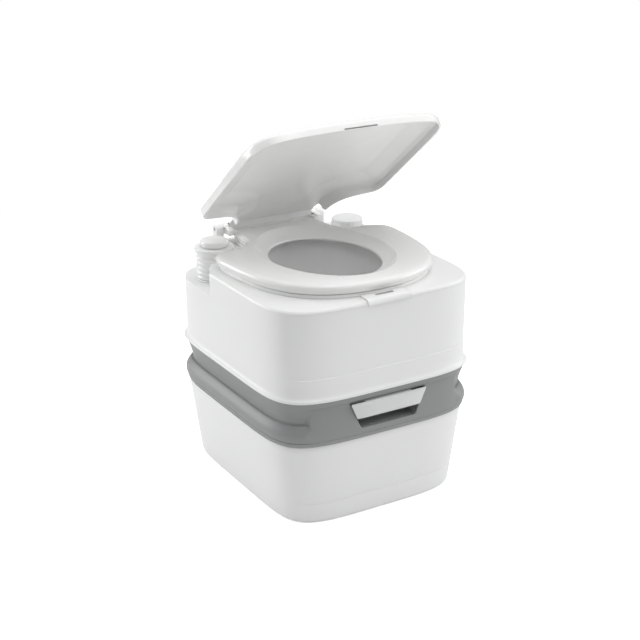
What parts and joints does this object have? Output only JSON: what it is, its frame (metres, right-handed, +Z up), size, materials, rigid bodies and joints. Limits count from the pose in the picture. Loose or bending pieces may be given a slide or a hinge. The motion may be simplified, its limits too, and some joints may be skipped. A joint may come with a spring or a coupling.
{
  "type": "portable camp toilet",
  "caption": "Portable camp toilet: a flush tank with bowl, seat, lid and bellows pump stands on a waste tank with a slide valve and a turning pour-out spout.",
  "frame": {"origin": "middle of the underside, on the floor", "axes": "+Z up, front with the pull handle towards -Y, +X to the right seen from the front"},
  "size_m": [0.3826, 0.4268, 0.6363],
  "materials": {
    "white_plastic": "satin warm white moulding",
    "bowl_plastic": "smooth light moulding",
    "grey_plastic": "fine matt mid grey moulding",
    "light_grey_plastic": "satin light grey moulding",
    "black_rubber": "matt rubber",
    "clear_hose": "milky flexible hose",
    "steel": "bright drawn steel"
  },
  "bodies": {
    "waste_tank": {"waste_tank_shell": "white_plastic", "waste_tank_top": "grey_plastic", "valve_guide": "grey_plastic", "valve_lip_seal": "black_rubber", "spout_seal": "black_rubber", "vent_spring": "steel"},
    "valve": {"valve_blade": "light_grey_plastic", "pull_handle": "light_grey_plastic"},
    "pour_spout": {"pour_spout": "grey_plastic"},
    "spout_cap": {"spout_cap": "light_grey_plastic", "spout_cap_washer": "black_rubber"},
    "vent_button": {"vent_button": "light_grey_plastic"},
    "flush_tank": {"flush_tank_shell": "white_plastic", "bowl": "bowl_plastic", "flush_nozzle": "light_grey_plastic", "flush_hose": "clear_hose", "pump_base": "white_plastic", "pump_stub": "light_grey_plastic", "pump_bellows": "white_plastic", "fill_neck": "light_grey_plastic", "catch_plate": "white_plastic", "latch_pin": "steel", "hinge_pin_left": "steel", "hinge_pin_right": "steel"},
    "tank_latch": {"tank_latch": "grey_plastic"},
    "pump_knob": {"pump_knob": "white_plastic"},
    "fill_cap": {"fill_cap": "white_plastic", "fill_cap_seal": "black_rubber"},
    "seat": {"seat": "white_plastic", "seat_bumper_1": "black_rubber", "seat_bumper_2": "black_rubber", "seat_bumper_3": "black_rubber", "seat_bumper_4": "black_rubber"},
    "lid": {"lid": "white_plastic", "lid_catch": "light_grey_plastic"}
  },
  "joints": [
    {"name": "valve_slide", "type": "slide", "parent": "waste_tank", "child": "valve", "axis": [0, -1, 0], "range_m": [0, 0.1]},
    {"name": "spout_swing", "type": "hinge", "parent": "waste_tank", "child": "pour_spout", "pos_m": [-0.108, 0.185, 0.1835], "axis": [0, 0, 1], "range_deg": [0, 95]},
    {"name": "spout_cap_turn", "type": "hinge", "parent": "pour_spout", "child": "spout_cap", "pos_m": [0.072, 0.185, 0.1835], "axis": [1, 0, 0], "continuous": true},
    {"name": "vent_press", "type": "slide", "parent": "waste_tank", "child": "vent_button", "axis": [0, 0, -1], "range_m": [0, 0.004], "stiffness_N_per_m": 600, "deforming": ["vent_spring"]},
    {"name": "tank_lift", "type": "slide", "parent": "waste_tank", "child": "flush_tank", "axis": [0, 0, 1], "range_m": [0, 0.15]},
    {"name": "latch_swing", "type": "hinge", "parent": "flush_tank", "child": "tank_latch", "pos_m": [0, 0.2107, 0.255], "axis": [1, 0, 0], "range_deg": [0, 40]},
    {"name": "pump_press", "type": "slide", "parent": "flush_tank", "child": "pump_knob", "axis": [0, 0, -1], "range_m": [0, 0.025], "stiffness_N_per_m": 250, "deforming": ["pump_bellows"]},
    {"name": "fill_cap_turn", "type": "hinge", "parent": "flush_tank", "child": "fill_cap", "pos_m": [0.145, 0.153, 0.3893], "axis": [0, 0, 1], "continuous": true},
    {"name": "seat_hinge", "type": "hinge", "parent": "flush_tank", "child": "seat", "pos_m": [0, 0.183, 0.401], "axis": [-1, 0, 0], "range_deg": [0, 95]},
    {"name": "lid_hinge", "type": "hinge", "parent": "seat", "child": "lid", "pos_m": [0, 0.183, 0.401], "axis": [-1, 0, 0], "range_deg": [-39.2, 57.8]}
  ]
}
